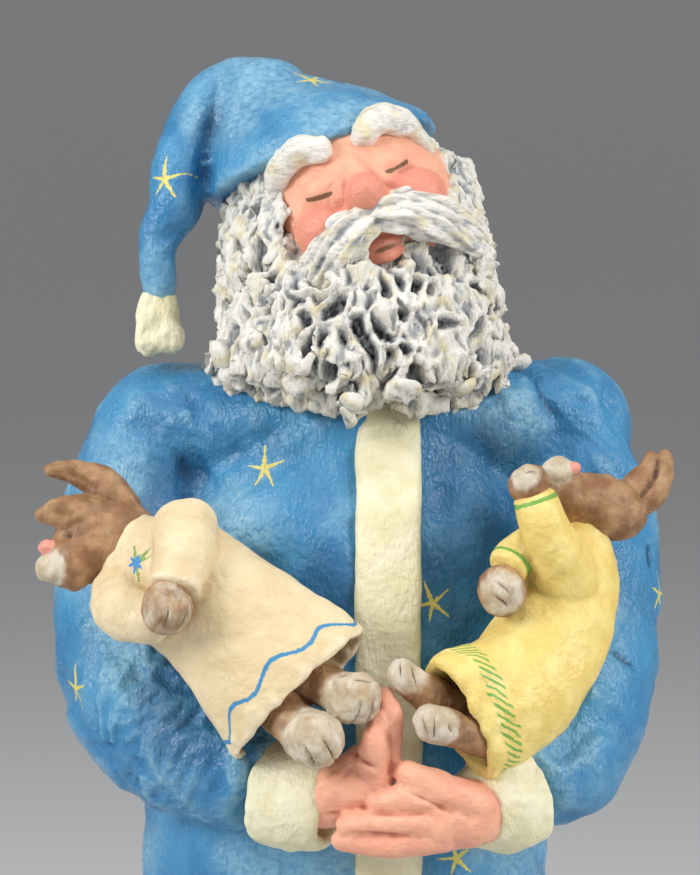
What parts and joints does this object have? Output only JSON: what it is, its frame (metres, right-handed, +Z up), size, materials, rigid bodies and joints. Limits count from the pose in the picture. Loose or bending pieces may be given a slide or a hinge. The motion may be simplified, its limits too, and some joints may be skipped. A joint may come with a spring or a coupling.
{
  "type": "santa figurine",
  "caption": "Hand modelled, painted clay figure of a bearded Santa in a long starred robe and floppy cap, holding little rabbits in nightshirts on its forearms, on a low base.",
  "frame": {"origin": "middle of the low base's flat underside, on the surface that the figurine stands on", "axes": "+Z up, the figure faces -Y, and +X is to the right as a viewer in front sees it"},
  "size_m": [0.1832, 0.1635, 0.3791],
  "materials": {
    "painted_clay": "hand modelled clay, brushed with satin acrylic paint: blue robe and cap, cream trims, white beard, flesh, brown, yellow"
  },
  "bodies": {
    "root": {"santa_figurine": "painted_clay"}
  },
  "joints": []
}
